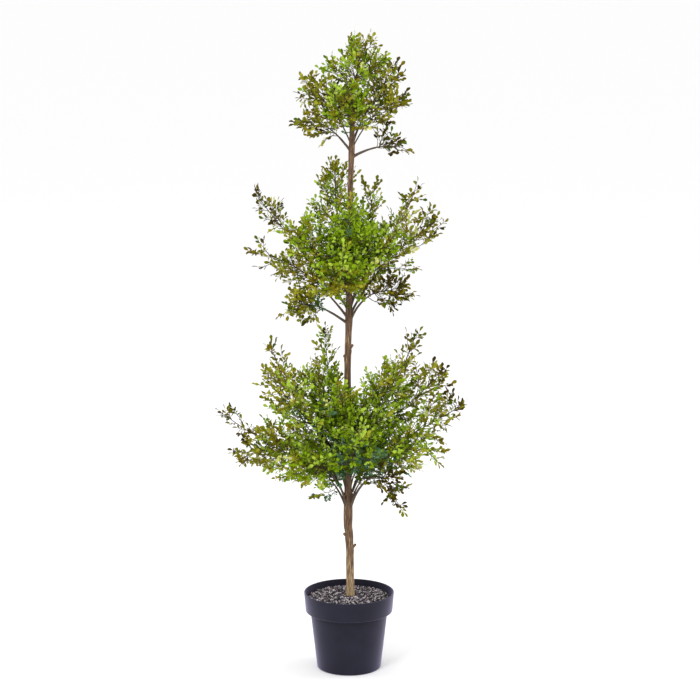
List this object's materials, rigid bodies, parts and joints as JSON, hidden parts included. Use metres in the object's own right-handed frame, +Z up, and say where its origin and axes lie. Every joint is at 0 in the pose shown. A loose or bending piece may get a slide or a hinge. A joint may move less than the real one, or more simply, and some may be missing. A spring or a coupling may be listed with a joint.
{
  "type": "artificial boxwood topiary tree",
  "caption": "Small-leaved artificial topiary in a round nursery pot: open tiers of foliage, narrowing upwards in a cone, on a slender bare stem.",
  "frame": {"origin": "centre of the pot's flat underside", "axes": "+Z up the stem to the crown's top, +X to the right and -Y towards the viewer when the plant is seen from its front"},
  "size_m": [0.5641, 0.4678, 1.4994],
  "materials": {
    "pot_plastic": "satin",
    "grit": "matte",
    "stem_bark": "matte",
    "bough_bark": "matte",
    "leaf": "satin"
  },
  "bodies": {
    "root": {"bough_lower_front_left": "bough_bark", "bough_lower_front_right": "bough_bark", "bough_lower_left_far": "bough_bark", "bough_lower_left_high": "bough_bark", "bough_lower_left_low": "bough_bark", "bough_lower_right_far": "bough_bark", "bough_lower_right_high": "bough_bark", "bough_lower_right_low": "bough_bark", "bough_middle_left_far": "bough_bark", "bough_middle_left_low": "bough_bark", "bough_middle_right_far": "bough_bark", "bough_middle_right_high": "bough_bark", "bough_middle_right_low": "bough_bark", "bough_upper_left_low": "bough_bark", "bough_upper_right_high": "bough_bark", "bough_upper_right_low": "bough_bark", "foliage_lower_back": "leaf", "foliage_lower_back_left": "leaf", "foliage_lower_back_low_left": "leaf", "foliage_lower_back_low_right": "leaf", "foliage_lower_front": "leaf", "foliage_lower_front_left": "leaf", "foliage_lower_front_right": "leaf", "foliage_lower_inner_front": "leaf", "foliage_lower_inner_left": "leaf", "foliage_lower_inner_right": "leaf", "foliage_lower_left_far": "leaf", "foliage_lower_left_high": "leaf", "foliage_lower_left_low": "leaf", "foliage_lower_left_upper": "leaf", "foliage_lower_right_far": "leaf", "foliage_lower_right_high": "leaf", "foliage_lower_right_low": "leaf", "foliage_lower_right_upper": "leaf", "foliage_middle_back": "leaf", "foliage_middle_back_left": "leaf", "foliage_middle_back_right": "leaf", "foliage_middle_front": "leaf", "foliage_middle_inner_front": "leaf", "foliage_middle_left_far": "leaf", "foliage_middle_left_high": "leaf", "foliage_middle_left_low": "leaf", "foliage_middle_left_mid": "leaf", "foliage_middle_left_upper": "leaf", "foliage_middle_right_far": "leaf", "foliage_middle_right_high": "leaf", "foliage_middle_right_low": "leaf", "foliage_middle_right_mid": "leaf", "foliage_middle_right_upper": "leaf", "foliage_top": "leaf", "foliage_upper_back": "leaf", "foliage_upper_front": "leaf", "foliage_upper_left_high": "leaf", "foliage_upper_left_low": "leaf", "foliage_upper_right_far": "leaf", "foliage_upper_right_high": "leaf", "foliage_upper_right_low": "leaf", "pot": "pot_plastic", "pot_fill": "grit", "trunk": "stem_bark"}
  },
  "joints": []
}
